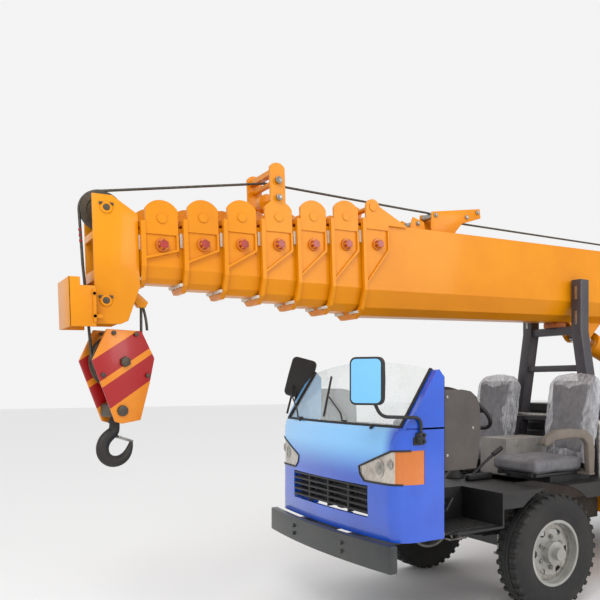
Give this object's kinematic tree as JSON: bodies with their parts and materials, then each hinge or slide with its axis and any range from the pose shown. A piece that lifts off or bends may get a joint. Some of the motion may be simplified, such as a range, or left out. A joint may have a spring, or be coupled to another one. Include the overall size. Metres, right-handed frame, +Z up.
{
  "type": "telescopic boom crane truck",
  "caption": "Small crane truck with an open half cab, a telescopic boom stowed forward over it, a hook block and outriggers.",
  "frame": {"origin": "on the ground under the middle of the whole vehicle's footprint, boom included", "axes": "+X forward along the truck and the stowed boom, +Y to the driver's side, +Z up"},
  "size_m": [6.9454, 2.176, 2.7073],
  "materials": {
    "black_plastic": "matt",
    "boom_yellow": "gloss paint",
    "cab_blue": "gloss paint",
    "cast": "as cast",
    "chair_cover": "covered in clear film",
    "chromed_rod": "polished",
    "frame_black": "satin paint",
    "glass": "clear",
    "grey_plastic": "matt",
    "hook_black": "black paint",
    "lens": "clear",
    "rim_grey": "satin paint",
    "steel": "ground",
    "tyre": "matt"
  },
  "bodies": {
    "chassis": {"chassis_frame": "frame_black", "front_axle": "frame_black", "rear_axle": "frame_black", "engine": "cast", "cab_front": "cab_blue", "cab_tub": "frame_black", "dashboard": "grey_plastic", "windscreen": "glass", "lamps": "lens", "bumper": "frame_black", "driver_chair": "chair_cover", "passenger_chair": "chair_cover", "engine_cover": "grey_plastic", "mirrors": "black_plastic", "power_pack": "frame_black", "boom_rest": "frame_black", "deck": "frame_black", "tanks": "frame_black", "outrigger_boxes": "boom_yellow", "slew_base": "frame_black"},
    "knuckle_left": {"knuckle_left": "frame_black"},
    "knuckle_right": {"knuckle_right": "frame_black"},
    "tie_rod": {"tie_rod": "frame_black"},
    "steering_wheel": {"steering_wheel": "black_plastic"},
    "wheel_front_left": {"tyre_front_left": "tyre", "rim_front_left": "rim_grey"},
    "wheel_front_right": {"tyre_front_right": "tyre", "rim_front_right": "rim_grey"},
    "wheels_rear_left": {"tyres_rear_left": "tyre", "rims_rear_left": "rim_grey"},
    "wheels_rear_right": {"tyres_rear_right": "tyre", "rims_rear_right": "rim_grey"},
    "turret": {"turret": "boom_yellow", "control_station": "boom_yellow"},
    "winch_drum": {"winch_drum": "boom_yellow"},
    "luff_barrel": {"luff_barrel": "boom_yellow"},
    "luff_rod": {"luff_rod": "chromed_rod"},
    "boom": {"boom_base": "boom_yellow", "rope_presser": "boom_yellow"},
    "section_2": {"section_2": "boom_yellow"},
    "section_3": {"section_3": "boom_yellow"},
    "section_4": {"section_4": "boom_yellow"},
    "section_5": {"section_5": "boom_yellow"},
    "section_6": {"section_6": "boom_yellow"},
    "section_7": {"section_7": "boom_yellow"},
    "section_8": {"section_8": "boom_yellow", "boom_head": "boom_yellow"},
    "rope_falls": {"rope_falls": "steel"},
    "hook_block": {"hook_block": "boom_yellow"},
    "hook": {"hook": "hook_black"},
    "beam_front_left": {"beam_front_left": "boom_yellow"},
    "leg_front_left": {"leg_front_left": "chromed_rod"},
    "beam_front_right": {"beam_front_right": "boom_yellow"},
    "leg_front_right": {"leg_front_right": "chromed_rod"},
    "beam_rear_left": {"beam_rear_left": "boom_yellow"},
    "leg_rear_left": {"leg_rear_left": "chromed_rod"},
    "beam_rear_right": {"beam_rear_right": "boom_yellow"},
    "leg_rear_right": {"leg_rear_right": "chromed_rod"}
  },
  "joints": [
    {"name": "steer_left", "type": "hinge", "parent": "chassis", "child": "knuckle_left", "pos_m": [0.75, 0.545, 0.375], "axis": [0, 0, 1], "range_deg": [-32, 32]},
    {"name": "steer_right", "type": "hinge", "parent": "chassis", "child": "knuckle_right", "pos_m": [0.75, -0.545, 0.375], "axis": [0, 0, 1], "range_deg": [-32, 32]},
    {"name": "tie_rod_swing", "type": "hinge", "parent": "knuckle_left", "child": "tie_rod", "pos_m": [0.57, 0.545, 0.325], "axis": [0, 0, 1], "range_deg": [-32, 32]},
    {"name": "steering_wheel_turn", "type": "hinge", "parent": "chassis", "child": "steering_wheel", "pos_m": [1.24, 0.41, 1.3], "axis": [-0.6428, 0, 0.766], "range_deg": [-450, 450]},
    {"name": "wheel_front_left_spin", "type": "hinge", "parent": "knuckle_left", "child": "wheel_front_left", "pos_m": [0.75, 0.672, 0.375], "axis": [0, 1, 0], "continuous": true},
    {"name": "wheel_front_right_spin", "type": "hinge", "parent": "knuckle_right", "child": "wheel_front_right", "pos_m": [0.75, -0.672, 0.375], "axis": [0, 1, 0], "continuous": true},
    {"name": "wheels_rear_left_spin", "type": "hinge", "parent": "chassis", "child": "wheels_rear_left", "pos_m": [-2.3, 0.74, 0.375], "axis": [0, 1, 0], "continuous": true},
    {"name": "wheels_rear_right_spin", "type": "hinge", "parent": "chassis", "child": "wheels_rear_right", "pos_m": [-2.3, -0.74, 0.375], "axis": [0, 1, 0], "continuous": true},
    {"name": "slew", "type": "hinge", "parent": "chassis", "child": "turret", "pos_m": [-2.05, 0, 0.89], "axis": [0, 0, 1], "continuous": true},
    {"name": "luff", "type": "hinge", "parent": "turret", "child": "boom", "pos_m": [-2.8, 0, 2.25], "axis": [0, -1, 0], "range_deg": [0, 72]},
    {"name": "luff_barrel_swing", "type": "hinge", "parent": "turret", "child": "luff_barrel", "pos_m": [-2.2, 0, 1.1323], "axis": [0, -1, 0], "range_deg": [0, 60.01]},
    {"name": "luff_rod_slide", "type": "slide", "parent": "luff_barrel", "child": "luff_rod", "axis": [0.9351, 0, 0.3545], "range_m": [0, 1.386]},
    {"name": "section_2_slide", "type": "slide", "parent": "boom", "child": "section_2", "axis": [0.9995, 0, -0.0314], "range_m": [0, 3.6]},
    {"name": "section_3_slide", "type": "slide", "parent": "section_2", "child": "section_3", "axis": [0.9995, 0, -0.0314], "range_m": [0, 3.6]},
    {"name": "section_4_slide", "type": "slide", "parent": "section_3", "child": "section_4", "axis": [0.9995, 0, -0.0314], "range_m": [0, 3.6]},
    {"name": "section_5_slide", "type": "slide", "parent": "section_4", "child": "section_5", "axis": [0.9995, 0, -0.0314], "range_m": [0, 3.6]},
    {"name": "section_6_slide", "type": "slide", "parent": "section_5", "child": "section_6", "axis": [0.9995, 0, -0.0314], "range_m": [0, 3.6]},
    {"name": "section_7_slide", "type": "slide", "parent": "section_6", "child": "section_7", "axis": [0.9995, 0, -0.0314], "range_m": [0, 3.6]},
    {"name": "section_8_slide", "type": "slide", "parent": "section_7", "child": "section_8", "axis": [0.9995, 0, -0.0314], "range_m": [0, 3.6]},
    {"name": "falls_swing", "type": "hinge", "parent": "section_8", "child": "rope_falls", "pos_m": [3.225, 0, 1.862], "axis": [0, 1, 0], "range_deg": [-10, 72], "deforming": ["rope_falls"]},
    {"name": "hoist", "type": "slide", "parent": "rope_falls", "child": "hook_block", "axis": [0, 0, -1], "range_m": [0, 0.9]},
    {"name": "hook_swivel", "type": "hinge", "parent": "hook_block", "child": "hook", "pos_m": [3.225, 0, 1.2], "axis": [0, 0, 1], "continuous": true},
    {"name": "winch_turn", "type": "hinge", "parent": "turret", "child": "winch_drum", "pos_m": [-3.2, 0, 1.64], "axis": [0, 1, 0], "continuous": true},
    {"name": "beam_front_left_slide", "type": "slide", "parent": "chassis", "child": "beam_front_left", "axis": [0, 1, 0], "range_m": [0, 0.9]},
    {"name": "leg_front_left_slide", "type": "slide", "parent": "beam_front_left", "child": "leg_front_left", "axis": [0, 0, -1], "range_m": [0, 0.285]},
    {"name": "beam_front_right_slide", "type": "slide", "parent": "chassis", "child": "beam_front_right", "axis": [0, -1, 0], "range_m": [0, 0.9]},
    {"name": "leg_front_right_slide", "type": "slide", "parent": "beam_front_right", "child": "leg_front_right", "axis": [0, 0, -1], "range_m": [0, 0.285]},
    {"name": "beam_rear_left_slide", "type": "slide", "parent": "chassis", "child": "beam_rear_left", "axis": [0, 1, 0], "range_m": [0, 0.9]},
    {"name": "leg_rear_left_slide", "type": "slide", "parent": "beam_rear_left", "child": "leg_rear_left", "axis": [0, 0, -1], "range_m": [0, 0.285]},
    {"name": "beam_rear_right_slide", "type": "slide", "parent": "chassis", "child": "beam_rear_right", "axis": [0, -1, 0], "range_m": [0, 0.9]},
    {"name": "leg_rear_right_slide", "type": "slide", "parent": "beam_rear_right", "child": "leg_rear_right", "axis": [0, 0, -1], "range_m": [0, 0.285]}
  ],
  "couplings": [
    {"joint": "steer_right", "follows": "steer_left", "ratio": 1},
    {"joint": "tie_rod_swing", "follows": "steer_left", "ratio": -1},
    {"joint": "steering_wheel_turn", "follows": "steer_left", "ratio": 14},
    {"joint": "luff_barrel_swing", "follows": "luff", "ratio": 0.83334},
    {"joint": "luff_rod_slide", "follows": "luff", "m_per_rad": 1.1021},
    {"joint": "section_3_slide", "follows": "section_2_slide", "ratio": 1},
    {"joint": "section_4_slide", "follows": "section_2_slide", "ratio": 1},
    {"joint": "section_5_slide", "follows": "section_2_slide", "ratio": 1},
    {"joint": "section_6_slide", "follows": "section_2_slide", "ratio": 1},
    {"joint": "section_7_slide", "follows": "section_2_slide", "ratio": 1},
    {"joint": "section_8_slide", "follows": "section_2_slide", "ratio": 1}
  ]
}
